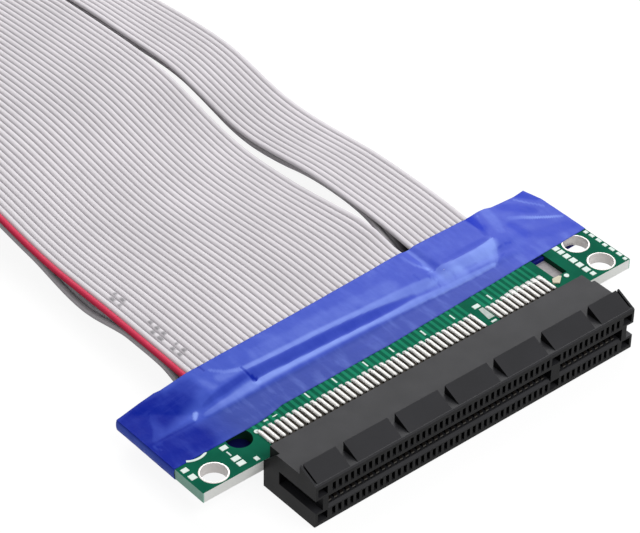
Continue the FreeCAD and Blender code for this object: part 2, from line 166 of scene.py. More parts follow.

# Light and dark folds in that tape: each fold is raised or lowered a little, and painted pale as a highlight
# or dark as shade. Each place gives x, y, how far the fold fades, to its left and to its right along it
# where these differ, and its tone from -1 for painted shade to 1 for painted highlight
TAPE_FOLDS = [
    # crest over the ends of the jackets
    [(-23.0, 22.4, 0.4, 0.3), (-21.8, 21.0, 0.5, 0.35), (-19.7, 20.0, 0.6, 0.45),
     (-18.6, 19.65, 0.9, 0.35, 0.6), (-14.0, 19.45, 1.0, 0.3, 0.65), (-6.0, 19.25, 1.0, 0.3, 0.65),
     (0.0, 18.95, 1.0, 0.3, 0.65), (4.0, 18.75, 1.1, 0.6, 0.6), (7.0, 18.6, 1.2, 1.0, 0.55),
     (10.0, 18.4, 1.2, 1.4, 0.5), (12.5, 18.3, 1.0, 1.2, 0.4)],
    [(-16.0, 21.3, 1.6, 0.12), (-6.0, 21.0, 2.0, 0.18), (7.0, 20.8, 1.8, 0.15)],
    # crest over the bare wires, wide at its left end
    [(-28.2, 16.6, 0.5, 0.6, 0.3), (-24.0, 16.8, 0.8, 0.9, 0.45), (-21.3, 17.0, 1.1, 0.55),
     (-19.8, 17.1, 1.1, 1.2, 0.6)],
    [(-18.8, 17.4, 0.3, 1.3, 0.75), (-14.0, 17.3, 0.3, 1.1, 0.9), (-7.0, 17.1, 0.3, 0.9, 0.9),
     (0.0, 16.9, 0.3, 0.8, 0.85), (4.0, 16.65, 0.6, 0.7, 0.75), (8.0, 16.4, 1.1, 0.6, 0.65),
     (12.0, 16.1, 1.0, 0.5, 0.6), (18.0, 15.95, 0.7, 0.5, 0.6), (22.0, 15.95, 0.5, 0.3, 0.6)],
    # hollow between the two crests, and a slack leaf on its left
    [(-18.8, 18.5, 1.1, -0.4), (-10.0, 18.3, 1.1, -0.45), (0.0, 17.9, 1.0, -0.45),
     (4.0, 17.75, 0.9, -0.4), (8.5, 17.65, 0.5, -0.2)],
    [(-27.6, 17.9, 0.4, -0.25), (-23.7, 18.4, 0.8, -0.5), (-20.2, 18.8, 0.7, -0.5)],
    [(-19.55, 20.2, 0.25, -0.7), (-19.5, 18.6, 0.3, -1.0), (-19.2, 17.65, 0.45, -1.7)],
    # pinch beside the first wires, with painted highlights round it
    [(-23.8, 24.2, 0.35, -0.9), (-23.7, 22.8, 0.25, -0.6)],
    [(-26.2, 22.0, 0.9, 0.12), (-24.6, 19.6, 0.8, 0.15)],
    [(-23.0, 20.4, 1.1, 0.2), (-20.6, 19.9, 0.6, 0.2)],
    # left end, pulled tight round the board
    [(-27.6, 21.8, 2.4, -0.55), (-30.0, 20.8, 3.4, -0.9), (-34.0, 20.5, 4.5, -0.95),
     (-38.0, 19.0, 5.0, -0.95), (-38.0, 14.0, 5.5, -0.95), (-32.0, 13.4, 4.4, -0.95),
     (-27.5, 13.6, 2.8, -0.45)],
    [(-38.0, 23.0, 0.6, 1.8, -0.45), (-31.2, 23.8, 0.6, 1.6, -0.4)],
    [(-38.0, 16.5, 0.15, 0.5, -0.25), (-30.4, 16.5, 0.15, 0.4, -0.25)],
    [(-30.0, 16.7, 0.35, 0.8), (-29.3, 17.5, 0.5, 0.45, 1.15)],
    [(-36.4, 16.9, 0.4, 1.5, 0.3), (-35.2, 18.4, 0.35, 1.7, 0.35), (-34.2, 20.6, 0.35, 1.3, 0.15)],
    [(-37.2, 16.0, 0.25, 0.4), (-37.0, 14.8, 0.25, 0.35)],
    # loose triangle over the power wires, with arcs in it
    [(14.8, 19.7, 0.4, 2.6, 0.4), (18.0, 19.35, 0.3, 3.4, 0.65), (21.8, 19.35, 0.3, 3.6, 0.85),
     (23.6, 19.55, 0.3, 2.3, 0.9), (24.9, 19.8, 0.25, 0.5, 0.9)],
    [(25.1, 19.8, 0.25, 0.8, 0.2), (24.1, 18.0, 0.3, 1.6, 0.25), (23.2, 16.7, 0.3, 1.6, 0.3),
     (22.3, 15.9, 0.3, 1.2, 0.2)],
    [(11.5, 17.5, 0.8, 0.2), (14.0, 17.6, 1.6, 1.3, 0.45), (17.0, 17.4, 1.6, 0.4)],
    [(12.6, 19.0, 0.2, -0.25), (13.1, 17.8, 0.2, -0.25), (12.7, 16.7, 0.2, -0.2)],
    [(15.2, 19.0, 0.25, -0.15), (16.1, 18.0, 0.25, -0.2), (15.6, 16.8, 0.25, -0.15)],
    [(17.8, 17.6, 0.3, -0.15), (20.0, 17.5, 0.3, -0.15)],
    [(16.5, 20.3, 0.5, -0.15), (22.8, 20.4, 0.7, 0.6, -0.3), (24.2, 20.5, 0.4, -0.2)],
    # over the gap between the ribbons
    [(12.4, 24.6, 0.35, 0.2), (12.7, 22.2, 0.4, 0.3), (13.6, 20.6, 0.6, 0.45)],
    [(14.2, 25.6, 0.35, 0.4), (14.2, 22.2, 0.45, 0.4), (13.8, 20.2, 0.8, 0.5)],
    [(11.2, 20.6, 0.25, -0.25), (11.1, 19.4, 0.25, -0.35)],
    [(15.1, 21.6, 0.4, -0.2), (15.2, 20.2, 0.4, -0.3)],
    # right end, beside the last wire
    [(25.1, 25.6, 2.6, 0.3, -1.0), (25.2, 23.0, 2.0, 0.3, -0.95), (25.0, 21.0, 0.6, 0.3, -0.4)],
    [(27.2, 25.2, 0.3, 0.3), (25.9, 22.2, 0.25, 0.25)],
    [(29.2, 25.9, 1.2, 0.25), (28.4, 23.0, 1.3, 0.25), (27.4, 20.6, 1.0, 0.15)],
    [(24.7, 18.0, 0.2, -0.4), (25.4, 18.1, 0.2, -0.4)],
    [(26.1, 18.2, 0.3, -0.4), (27.0, 18.0, 0.3, -0.4)],
    [(23.9, 16.6, 0.2, -0.3), (24.6, 16.8, 0.2, -0.3)],
    # right end, free at its corner
    [(30.0, 20.8, 1.2, -0.4), (30.4, 18.4, 1.3, -0.4)],
    [(32.2, 25.0, 1.2, 1.6, -0.45), (33.6, 23.6, 1.8, -0.45), (35.0, 21.6, 0.9, -0.4)],
    [(30.9, 22.1, 0.8, 0.5, 0.2), (32.6, 21.5, 0.6, 0.5, 0.45), (34.2, 20.2, 0.45, 0.3, 0.85),
     (35.6, 19.2, 0.45, 0.25, 0.8), (37.2, 18.2, 0.4, 0.3, 0.5)],
    [(36.6, 26.2, 1.6, -0.75), (37.4, 23.8, 1.0, -0.6)],
    [(34.9, 25.6, 0.3, 0.35), (35.8, 23.4, 0.3, 0.35), (36.9, 21.6, 0.3, 0.3)],
    [(32.0, 17.2, 1.6, -0.25), (36.6, 16.2, 1.5, -0.35)],
]

# Folds in the tape round the plug board, with the same painted highlights and painted shade
PLUG_TAPE_FOLDS = [
    # crests over the ends of the jackets and over the bare wires, with a hollow between them
    [(-25.8, 267.3, 0.5, 0.8, 0.3), (-14.0, 267.7, 0.5, 1.0, 0.5), (-2.0, 267.5, 0.5, 0.9, 0.45),
     (12.8, 267.8, 0.5, 0.7, 0.4)],
    [(15.4, 267.7, 0.5, 0.9, 0.45), (25.4, 267.4, 0.5, 0.8, 0.4)],
    [(-26.0, 270.7, 0.9, 0.4, 0.25), (-12.0, 270.3, 0.9, 0.4, 0.4), (3.0, 270.6, 0.8, 0.4, 0.35),
     (13.0, 270.4, 0.7, 0.4, 0.3), (25.0, 270.7, 0.9, 0.4, 0.35)],
    [(-24.0, 269.1, 0.8, -0.3), (-8.0, 269.0, 0.9, -0.45), (8.0, 269.2, 0.8, -0.35),
     (24.0, 269.0, 0.7, -0.3)],
    # dip over the gap between the ribbons
    [(14.1, 262.8, 0.5, -0.6), (14.3, 266.6, 0.4, -0.4)],
    [(13.3, 263.0, 0.3, 0.3), (13.0, 266.8, 0.3, 0.4)],
    # slack at the two ends
    [(-27.0, 263.6, 0.4, 0.9, 0.35), (-29.6, 267.0, 0.4, 0.9, 0.5), (-30.9, 270.6, 0.3, 0.6, 0.3)],
    [(-30.6, 263.6, 1.5, -0.6), (-31.0, 266.4, 0.8, -0.4)],
    [(-28.4, 273.9, 1.6, -0.35), (-23.0, 274.4, 1.0, -0.2)],
    [(26.6, 264.4, 0.9, 0.4, 0.3), (28.6, 268.2, 0.9, 0.4, 0.45), (30.9, 271.4, 0.6, 0.3, 0.35)],
    [(29.9, 264.2, 1.6, -0.5), (30.6, 266.8, 0.9, -0.35)],
    # lighter and darker places over the board
    [(-18.0, 273.0, 0.5, 0.8, 0.18), (-9.0, 273.6, 0.6, 0.9, 0.25), (-3.0, 273.2, 0.4, 0.7, 0.15)],
    [(6.0, 272.6, 0.7, -0.25), (15.0, 273.2, 0.9, -0.3), (22.0, 272.9, 0.6, -0.2)],
]

# Tape round the two boards
TAPE_STEP = 0.3
TAPE_RINGS = 64
FILM_THICKNESS = 0.05
# the tape's underside is painted a little darker, as painted shade
UNDERSIDE_SHADE = -0.2

# Heights of that tape over the middle of a board, and what the ribbons, wires, folds and slack add to it
TAPE_OVER_BOARD = 0.87
SLOT_TAPE_TOP, PLUG_TAPE_TOP = 1.90, 1.86
SLOT_RIBBON_RISE, PLUG_RIBBON_RISE = 0.93, 0.92
SLOT_FOLD_RISE, PLUG_FOLD_RISE = 0.04, 0.03
RIPPLE_RISE = 0.05
SLACK_RISE = 0.02
BARE_WIRE_SHARE = 0.36

# What lies under the tape: the outer edges of the ribbons, the gap between them and where their jackets end
RIBBONS_LEFT = -26.0
RIBBONS_RIGHT = 25.4
RIBBON_GAP = 14.2
SLOT_JACKET_END = 18.95
PLUG_JACKET_END = 267.7

# Where the slot board's tape closes up behind the board, from and over what distance
CLOSED_FROM_X, CLOSED_REACH_X = 26.0, 11.8
CLOSED_FROM_Y, CLOSED_REACH_Y = 23.15, 3.75


# Shapes

def smooth_step(low, high, value):
    share = min(max((value - low) / (high - low), 0.0), 1.0)
    return share * share * (3.0 - 2.0 * share)


def along(places, x):
    """Height of a broken line of (x, y) places at x."""
    for (x0, y0), (x1, y1) in zip(places, places[1:]):
        if x <= x1:
            return y0 + (y1 - y0) * (x - x0) / (x1 - x0)
    return places[-1][1]


def wobble(i, step):
    """Small uneven number from -1 to 1 that is the same in every run."""
    value = math.sin(i * 12.9898 + step * 78.233) * 43758.5453
    return 2.0 * (value - math.floor(value)) - 1.0


def piece(name, points, faces, finishes, finish_of_face=None, crease_degrees=35.0):
    """Mesh piece from points in millimetres, smooth except across its creases."""
    mesh = bpy.data.meshes.new(name)
    mesh.from_pydata([Vector(p) * MM for p in points], [], faces)
    for finish in finishes:
        mesh.materials.append(finish)
    if finish_of_face is not None:
        mesh.polygons.foreach_set("material_index", finish_of_face)
    mesh.polygons.foreach_set("use_smooth", [True] * len(mesh.polygons))
    mesh.set_sharp_from_angle(angle=math.radians(crease_degrees))
    made = bpy.data.objects.new(name, mesh)
    scene.collection.objects.link(made)
    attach(made, "root")
    return made


def paint(made, name, values):
    """A value per point of a piece, for its finish to use."""
    layer = made.data.attributes.new(name, "FLOAT", "POINT")
    layer.data.foreach_set("value", values)


def ring_faces(count, rings, closed=True):
    """Quads that join rings of the same count of points, one ring after the other."""
    faces = []
    for r in range(rings - 1):
        for i in range(count if closed else count - 1):
            j = (i + 1) % count
            faces.append((r * count + i, r * count + j, (r + 1) * count + j, (r + 1) * count + i))
    return faces


def moved_faces(faces, first, side=1):
    """Faces of a shape whose points start at first, turned over on the lower side of a board."""
    moved = [tuple(first + i for i in face) for face in faces]
    return moved if side > 0 else [face[::-1] for face in moved]


def spline_points(places):
    """Points along the smooth line that a route's places pull into shape, in metres."""
    line = bpy.data.curves.new("ribbon_edge", "CURVE")
    line.dimensions = "3D"
    line.resolution_u = 8
    spline = line.splines.new("NURBS")
    spline.points.add(len(places) - 1)
    for point, place in zip(spline.points, places):
        point.co = (*place, 1.0)
    spline.order_u = 3
    spline.use_endpoint_u = True
    holder = bpy.data.objects.new("ribbon_edge", line)
    mesh = bpy.data.meshes.new_from_object(holder)
    found = [v.co.copy() for v in mesh.vertices]
    bpy.data.objects.remove(holder)
    bpy.data.curves.remove(line)
    bpy.data.meshes.remove(mesh)
    return found


# Ribbons

def ribbon_outline(wires, edge_shade):
    """Points round joined wires: place across in pitches, height, wire and depth in the groove."""
    def height(wire, offset):
        outer = (wire == 0 and offset < 0) or (wire == wires - 1 and offset > 0)
        reach = OUTER_REACH if outer else JOINED_REACH
        return WIRE_RADIUS * math.sqrt(max(0.0, 1.0 - (offset / reach) ** 2))

    def side(steps, sign):
        row = []
        for wire in range(wires):
            for step in range(steps):
                offset = -0.5 + step / steps
                row.append((wire + 0.5 + offset, sign * height(wire, offset), wire, abs(2.0 * offset)))
        return row

    top = side(POINTS_OVER_WIRE, 1) + [(float(wires), 0.0, wires - 1, 1.0)]
    below = side(POINTS_UNDER_WIRE, -1)[1:]
    shaded = [(*point[:3], edge_shade if point[2] == 0 else point[3]) for point in below]
    return top + shaded[::-1]


def no_ink(wire, depth, y):
    return 0.0


def dash_ink(wire, depth, y):
    """Printed dashes along the second and third white wires, clear of the grooves."""
    dashed = depth < 0.6 and any(wire == inked and start <= y <= end for inked, start, end in RIBBON_DASHES)
    return 1.0 if dashed else 0.0


def gap_shade(wire, depth, y):
    """Painted shade on the first wires at the bottom of the gap between the ribbons, close to the tape,
    given as full ink.
    """
    return FULL_INK_AND_SHADE * (1.0 - smooth_step(26.5, 32.0, y)) if wire < 3 else 0.0


def lay_ribbon(name, node, wires, left, route, finishes, curl=NO_CURL, aside=NOT_ASIDE, ink_and_shade_of=no_ink,
               edge_shade=DARK_EDGE):
    """Flat ribbon with a ridge per wire, between two edges that follow its route."""
    width = wires * WIRE_PITCH
    lefts = [left + along(aside, y / MM) for y, low, high in route]
    left_edge = spline_points([(x * MM, y, low) for x, (y, low, high) in zip(lefts, route)])
    right_edge = spline_points([((x + width) * MM, y, high) for x, (y, low, high) in zip(lefts, route)])
    middle = [(a + b) / 2 for a, b in zip(left_edge, right_edge)]
    outline = ribbon_outline(wires, edge_shade)
    points = []
    for i, (a, b) in enumerate(zip(left_edge, right_edge)):
        ahead = middle[min(i + 1, len(middle) - 1)] - middle[max(i - 1, 0)]
        across = b - a
        up = across.cross(ahead).normalized()
        lift = along(curl, middle[i].y / MM)
        for place, height, wire, depth in outline:
            height += lift * math.exp((place - wires) / CURL_FADE)
            points.append((a + across * (place / wires)) / MM + up * height)
    count = len(outline)
    first_end = tuple(range(count))
    far_end = tuple((len(middle) - 1) * count + i for i in reversed(range(count)))
    faces = ring_faces(count, len(middle)) + [first_end, far_end]
    wire_of_face = [wire for place, height, wire, depth in outline] * (len(middle) - 1)
    red = [1 if wire == 0 and len(finishes) > 1 else 0 for wire in wire_of_face] + [0, 0]
    made = piece(name, points, faces, finishes, red)
    paint(made, "groove", [depth for place, height, wire, depth in outline] * len(middle))
    # the ink values carry printed dashes and painted shade
    ink_and_shade = [ink_and_shade_of(wire, depth, line.y / MM) for line in middle for place, height, wire, depth in outline]
    paint(made, "ink_and_shade", ink_and_shade)
    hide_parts(node)
    return made, middle, wires


# Tape

def fold_tone(folds, x, y):
    """Tone of the tape at a place, from -1 for painted shade to 1 for painted highlight: each fold fades out
    on its two sides.
    """
    total = 0.0
    for fold in folds:
        strongest = 0.0
        for (x0, y0, *reach0, tone0), (x1, y1, *reach1, tone1) in zip(fold, fold[1:]):
            run_x, run_y = x1 - x0, y1 - y0
            share = ((x - x0) * run_x + (y - y0) * run_y) / (run_x ** 2 + run_y ** 2)
            share = min(max(share, 0.0), 1.0)
            away_x, away_y = x - x0 - share * run_x, y - y0 - share * run_y
            side = 0 if run_x * away_y - run_y * away_x > 0.0 else -1
            reach = reach0[side] + share * (reach1[side] - reach0[side])
            fade = 1.0 - smooth_step(0.35 * reach, reach, math.hypot(away_x, away_y))
            tone = (tone0 + share * (tone1 - tone0)) * fade
            if abs(tone) > abs(strongest):
                strongest = tone
        total += strongest
    return min(max(total, -1.0), 1.0)


def ribbon_bulge(x, y, jacket_end, towards, reach_left, reach_right):
    """Share of the ribbons' thickness under the tape: none before the bare wires, all over the jackets."""
    beside = 1.0
    if x < RIBBONS_LEFT:
        beside = max(0.0, 1.0 - (RIBBONS_LEFT - x) / reach_left)
    elif x > RIBBONS_RIGHT:
        beside = max(0.0, 1.0 - (x - RIBBONS_RIGHT) / reach_right)
    gone = (y - jacket_end) * towards
    bare = BARE_WIRE_SHARE * smooth_step(-3.6, -2.2, gone)
    jackets = (1.0 - BARE_WIRE_SHARE) * smooth_step(-1.9, 0.4, gone)
    split = 1.0 - 0.35 * math.exp(-((x - RIBBON_GAP) / 0.9) ** 2)
    return beside * (bare + jackets) * split


def wire_ripple(x):
    """1 over the middle of a wire, 0 between two wires."""
    left = SIGNAL_LEFT if x < RIBBON_GAP else POWER_LEFT
    return abs(math.cos(math.pi * (x - left - 0.5)))


def tape_round(name, node, half_length, middle, front, front_below, rear, lift, folds):
    """Band of thin tape round a board: along the top, round one end, back below and round the other end."""
    steps = int(2 * half_length / TAPE_STEP)
    xs = [-half_length + 2 * half_length * i / steps for i in range(steps + 1)]
    # Each place round the band: x, side, share of the tape's height there, and how far it bows out at an end
    loop = [(x, 1, 1.0, 0.0) for x in xs]
    loop += [(half_length, 1, 0.55, 0.11), (half_length, 1, 0.0, 0.15), (half_length, -1, 0.55, 0.11)]
    loop += [(x, -1, 1.0, 0.0) for x in reversed(xs)]
    loop += [(-half_length, -1, 0.55, -0.11), (-half_length, 1, 0.0, -0.15), (-half_length, 1, 0.55, -0.11)]
    points, tones = [], []
    for r in range(TAPE_RINGS + 1):
        for x, side, share, out in loop:
            y0, y1 = along(front if side > 0 else front_below, x), along(rear, x)
            y = y0 + (y1 - y0) * r / TAPE_RINGS
            points.append((x + out, y, middle + side * share * lift(x, y, side)))
            if out != 0.0:
                tones.append(0.0)
            else:
                tones.append(fold_tone(folds, x, y) if side > 0 else UNDERSIDE_SHADE)
    faces = ring_faces(len(loop), TAPE_RINGS + 1)
    made = piece(name, points, faces, [tape_film, tape_adhesive_in_shade], crease_degrees=60.0)
    paint(made, "tone", tones)
    shell = made.modifiers.new("film_thickness", "SOLIDIFY")
    shell.thickness = FILM_THICKNESS * MM
    shell.offset = -1.0
    shell.material_offset = 1
    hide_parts(node)
    return made


def slot_tape_lift(x, y, side):
    """Height of the slot board's tape over the middle of the board."""
    bulge = ribbon_bulge(x, y, SLOT_JACKET_END, 1, along(TAUT_LEFT, y), along(TAUT_RIGHT, y))
    lift = TAPE_OVER_BOARD + SLOT_RIBBON_RISE * bulge
    over_wires = smooth_step(RIBBONS_LEFT - 1.0, RIBBONS_LEFT, x)
    over_wires *= 1.0 - smooth_step(RIBBONS_RIGHT, RIBBONS_RIGHT + 1.0, x)
    lift += RIPPLE_RISE * over_wires * smooth_step(22.8, 24.8, y) * wire_ripple(x)
    if side > 0:
        lift += SLOT_FOLD_RISE * fold_tone(TAPE_FOLDS, x, y)
    lift += SLACK_RISE * math.sin(0.9 * x + 1.7 * y) * math.sin(0.37 * x - 1.1 * y + side)
    # past the board's rear edge the top and the underside close up towards the tape's two ends
    outward = max(0.0, min(1.0, (abs(x) - CLOSED_FROM_X) / CLOSED_REACH_X))
    rearward = max(0.0, (y - CLOSED_FROM_Y) / CLOSED_REACH_Y)
    return min(lift * (1.0 - 0.86 * outward * rearward), SLOT_TAPE_TOP)


def plug_tape_lift(x, y, side):
    """Height of the plug board's tape over the middle of that board."""
    bulge = ribbon_bulge(x, y, PLUG_JACKET_END, -1, PLUG_TAUT, PLUG_TAUT)
    lift = TAPE_OVER_BOARD + PLUG_RIBBON_RISE * bulge
    if side > 0:
        lift += PLUG_FOLD_RISE * fold_tone(PLUG_TAPE_FOLDS, x, y)
    lift += SLACK_RISE * math.sin(0.8 * x + 1.9 * y) * math.sin(0.41 * x - 1.3 * y + side)
    return min(lift, PLUG_TAPE_TOP)


# Small work on the boards

def solder_fillets(name, side):
    """Rounded solder over the foot of every contact on one face of the slot board."""
    across = 8
    ring = across + 1
    points, faces = [], []
    for n, x in enumerate(PIN_PLACES):
        spread = smooth_step(17.5, 19.5, x)
        toe = 10.15 + 0.12 * wobble(n, side) + spread * (0.4 + 0.25 * wobble(n, side + 7))
        bulk = 1.0 + 0.10 * wobble(n, side + 2)
        middle_x = x + 0.02 * wobble(n, 5)
        # Sections along the foot: y, half of the width, height
        stations = [
            (6.85, 0.15, 0.22), (6.95, 0.23, 0.28), (7.1, 0.28, 0.30), (8.3, 0.28, 0.31),
            (9.0, 0.28, 0.33 * bulk), (9.35, 0.30, 0.36 * bulk), (9.55, 0.28, 0.27),
            (9.75, 0.33 + 0.08 * spread, 0.24 * bulk), (toe - 0.08, 0.30 + 0.08 * spread, 0.16),
            (toe, 0.18, 0.04),
        ]
        first = len(points)
        for y, half_width, height in stations:
            for i in range(ring):
                angle = math.pi * i / across
                z = BOARD_MIDDLE + side * (HALF_BOARD + height * math.sin(angle) ** 0.4)
                points.append((middle_x - half_width * math.cos(angle), y, z))
        last = ring * (len(stations) - 1)
        shape = ring_faces(ring, len(stations), closed=False)
        shape += [tuple(range(ring)), tuple(last + i for i in reversed(range(ring)))]
        faces += moved_faces(shape, first, side)
    return piece(name, points, faces, [solder], crease_degrees=70.0)


def rectangle(x0, x1, y0, y1):
    return [(x0, y0), (x1, y0), (x1, y1), (x0, y1)]


def strips(name, places, thickness, finish, side=1, middle=BOARD_MIDDLE):
    """Thin flat strips with sloped sides on one face of a board: (x0, x1, y0, y1) each."""
    points, faces = [], []
    low = middle + side * HALF_BOARD
    high = low + side * thickness
    for x0, x1, y0, y1 in places:
        shape = [(4, 5, 6, 7), (0, 1, 5, 4), (1, 2, 6, 5), (2, 3, 7, 6), (3, 0, 4, 7)]
        faces += moved_faces(shape, len(points), side)
        points += [(x, y, low) for x, y in rectangle(x0, x1, y0, y1)]
        inner = rectangle(x0 + STRIP_SLOPE, x1 - STRIP_SLOPE, y0 + STRIP_SLOPE, y1 - STRIP_SLOPE)
        points += [(x, y, high) for x, y in inner]
    return piece(name, points, faces, [finish], crease_degrees=20.0)


def arc_outline(x, y, inner, outer, start, end):
    """Outline of a printed arc between two angles in degrees, or of a dot."""
    turns = 20
    angles = [math.radians(start + (end - start) * t / turns) for t in range(turns + 1)]

    def arc(radius):
        return [(x + radius * math.cos(a), y + radius * math.sin(a)) for a in angles]

    return arc(outer)[:-1] if inner == 0.0 else arc(outer) + arc(inner)[::-1]


def flat_patch(name, outline, finish, high, low=HALF_BOARD):
    """Flat patch with upright sides, between two heights over the middle of the slot board."""
    count = len(outline)
    points = [(x, y, BOARD_MIDDLE + level) for level in (low, high) for x, y in outline]
    faces = ring_faces(count, 2)
    faces += [tuple(reversed(range(count))), tuple(range(count, 2 * count))]
    return piece(name, points, faces, [finish])


def hole_plating(name, holes, inner, outer):
    """Plated collar through each screw hole, with a rim on both faces."""
    wall = inner + 0.02
    rim = outer - 0.08
    top = HALF_BOARD + RIM_THICKNESS
    profile = [
        (inner, -top), (rim, -top), (outer, -HALF_BOARD), (wall, -HALF_BOARD),
        (wall, HALF_BOARD), (outer, HALF_BOARD), (rim, top), (inner, top),
    ]
    count = len(profile)
    turns = 56
    points, faces = [], []
    for x, y in holes:
        first = len(points)
        for t in range(turns):
            angle = 2 * math.pi * t / turns
            across, ahead = math.cos(angle), math.sin(angle)
            for radius, height in profile:
                points.append((x + radius * across, y + radius * ahead, BOARD_MIDDLE + height))
        for t in range(turns):
            for i in range(count):
                a, b = t * count, (t + 1) % turns * count
                j = (i + 1) % count
                faces.append((first + a + i, first + b + i, first + b + j, first + a + j))
    return piece(name, points, faces, [plated_rim], crease_degrees=30.0)


# Finishes

def add_node(tree, kind, inputs=None, **settings):
    """New node in a tree. Each input is given a value, or a socket that it is joined to."""
    node = tree.nodes.new(kind)
    for label, value in settings.items():
        setattr(node, label, value)
    for label, value in (inputs or {}).items():
        if isinstance(value, bpy.types.NodeSocket):
            tree.links.new(value, node.inputs[label])
        else:
            node.inputs[label].default_value = value
    return node


def ramp(tree, value, low, high, at_low=0.0, at_high=1.0):
    """Number that goes from at_low to at_high while a value goes from low to high."""
    limits = {"From Min": low, "From Max": high, "To Min": at_low, "To Max": at_high}
    return add_node(tree, "ShaderNodeMapRange", {"Value": value, **limits}).outputs["Result"]


def combine(tree, operation, first, second=0.0):
    """One number worked out from two."""
    return add_node(tree, "ShaderNodeMath", {0: first, 1: second}, operation=operation).outputs["Value"]


def object_place(tree):
    """Place on an object in metres."""
    return tree.nodes.new("ShaderNodeTexCoord").outputs["Object"]


def stretched_place(tree, scale):
    """Place on an object, with its three directions scaled."""
    inputs = {"Vector": object_place(tree), "Scale": scale}
    return add_node(tree, "ShaderNodeMapping", inputs).outputs["Vector"]


def split_xyz(tree, vector):
    return add_node(tree, "ShaderNodeSeparateXYZ", {"Vector": vector}).outputs


def upward(tree):
    """How far a face looks up, from -1 to 1."""
    face = tree.nodes.new("ShaderNodeNewGeometry")
    return split_xyz(tree, face.outputs["Normal"])["Z"]


def noise(tree, place, scale, detail, roughness=0.5):
    """Soft uneven number from 0 to 1 over a surface."""
    inputs = {"Vector": place, "Scale": scale, "Detail": detail, "Roughness": roughness}
    return add_node(tree, "ShaderNodeTexNoise", inputs).outputs["Fac"]


def painted(tree, name):
    """Value painted on a piece's points."""
    return add_node(tree, "ShaderNodeAttribute", attribute_name=name).outputs["Fac"]


def mixed_colour(tree, mask, first, second):
    """Colour that goes from first to second with a mask. Either may be a colour or a socket."""
    inputs = {0: mask}
    for index, colour in ((6, first), (7, second)):
        inputs[index] = colour if isinstance(colour, bpy.types.NodeSocket) else (*colour, 1.0)
    return add_node(tree, "ShaderNodeMix", inputs, data_type="RGBA").outputs[2]


def effect(name, inputs, output):
    """Empty shader node group with named number inputs and one number output."""
    group = bpy.data.node_groups.new(name, "ShaderNodeTree")
    for label, value in inputs.items():
        socket = group.interface.new_socket(name=label, in_out="INPUT", socket_type="NodeSocketFloat")
        socket.default_value = value
    group.interface.new_socket(name=output, in_out="OUTPUT", socket_type="NodeSocketFloat")
    entry = group.nodes.new("NodeGroupInput")
    leave = group.nodes.new("NodeGroupOutput")
    return group, entry.outputs, leave.inputs[output]


def uneven_tone_effect():
    """Slow drift of a finish over the surface, between a low and a high value."""
    group, given, result = effect("uneven_tone", {"Scale": 100.0, "Low": 0.0, "High": 1.0}, "Value")
    patches = noise(group, object_place(group), given["Scale"], detail=3.0)
    group.links.new(ramp(group, patches, 0.32, 0.68, given["Low"], given["High"]), result)
    return group


def fine_grain_effect():
    """Fine grain of a moulded or rolled surface, as a height."""
    group, given, result = effect("fine_grain", {"Scale": 5000.0}, "Height")
    group.links.new(noise(group, object_place(group), given["Scale"], detail=2.0), result)
    return group


def rub_marks_effect():
    """Faint rubbed marks, long in X, as a mask."""
    group, given, result = effect("rub_marks", {"Scale": 200.0, "Amount": 0.5}, "Mask")
    place = stretched_place(group, (0.25, 1.0, 1.0))
    marks = ramp(group, noise(group, place, given["Scale"], detail=5.0, roughness=0.7), 0.55, 0.78)
    group.links.new(combine(group, "MULTIPLY", marks, given["Amount"]), result)
    return group


def place_mask_effect():
    """Mask that goes from 0 to 1 between two places along the cable, in metres."""
    group, given, result = effect("place_along_cable", {"From": 0.0, "To": 0.01}, "Mask")
    y = split_xyz(group, object_place(group))["Y"]
    group.links.new(ramp(group, y, given["From"], given["To"]), result)
    return group


uneven_tone = uneven_tone_effect()
fine_grain = fine_grain_effect()
rub_marks = rub_marks_effect()
place_along_cable = place_mask_effect()


def new_finish(name, roughness, metallic=0.0, specular=0.5):
    """Material with its tree and its main shader."""
    finish = bpy.data.materials.new(name)
    finish.use_nodes = True
    shader = finish.node_tree.nodes["Principled BSDF"]
    shader.inputs["Roughness"].default_value = roughness
    shader.inputs["Metallic"].default_value = metallic
    shader.inputs["Specular IOR Level"].default_value = specular
    return finish, finish.node_tree, shader


def place_effect(tree, group, **values):
    """What an effect gives in a material, with its own values."""
    return add_node(tree, "ShaderNodeGroup", values, node_tree=group).outputs[0]


def drift(tree, scale, low=0.0, high=1.0):
    return place_effect(tree, uneven_tone, Scale=scale, Low=low, High=high)


def dress(tree, shader, colour, rough=None, grain=None, strength=0.0, depth=0.0):
    """Joins a colour, a roughness and a relief to a shader. The relief's depth is in millimetres."""
    tree.links.new(colour, shader.inputs["Base Color"])
    if rough is not None:
        tree.links.new(rough, shader.inputs["Roughness"])
    if grain is not None:
        inputs = {"Height": grain, "Strength": strength, "Distance": depth * MM}
        relief = add_node(tree, "ShaderNodeBump", inputs)
        tree.links.new(relief.outputs["Normal"], shader.inputs["Normal"])


def black_moulding_finish():
    """Black plastic, painted lighter on the faces that lie up and near black on its upright and downward
    faces, as painted light and shade.
    """
    finish, tree, shader = new_finish("black_moulding", 0.45, specular=0.13)
    tone = drift(tree, 160.0)
    marks = place_effect(tree, rub_marks, Scale=320.0, Amount=0.12)
    rough = drift(tree, 420.0, 0.46, 0.50)
    grain = place_effect(tree, fine_grain, Scale=9000.0)
    rubbed = mixed_colour(tree, tone, (0.023, 0.023, 0.0255), (0.0275, 0.0275, 0.031))
    worn = mixed_colour(tree, marks, rubbed, (0.032, 0.032, 0.0345))
    # painted light and shade: faces that lie up keep the plastic's grey tone, the other faces are painted
    # near black
    side_shaded_black = mixed_colour(tree, ramp(tree, upward(tree), 0.2, 0.6), (0.003, 0.003, 0.0035), worn)
    dress(tree, shader, side_shaded_black, rough, grain, strength=0.35, depth=0.02)
    return finish


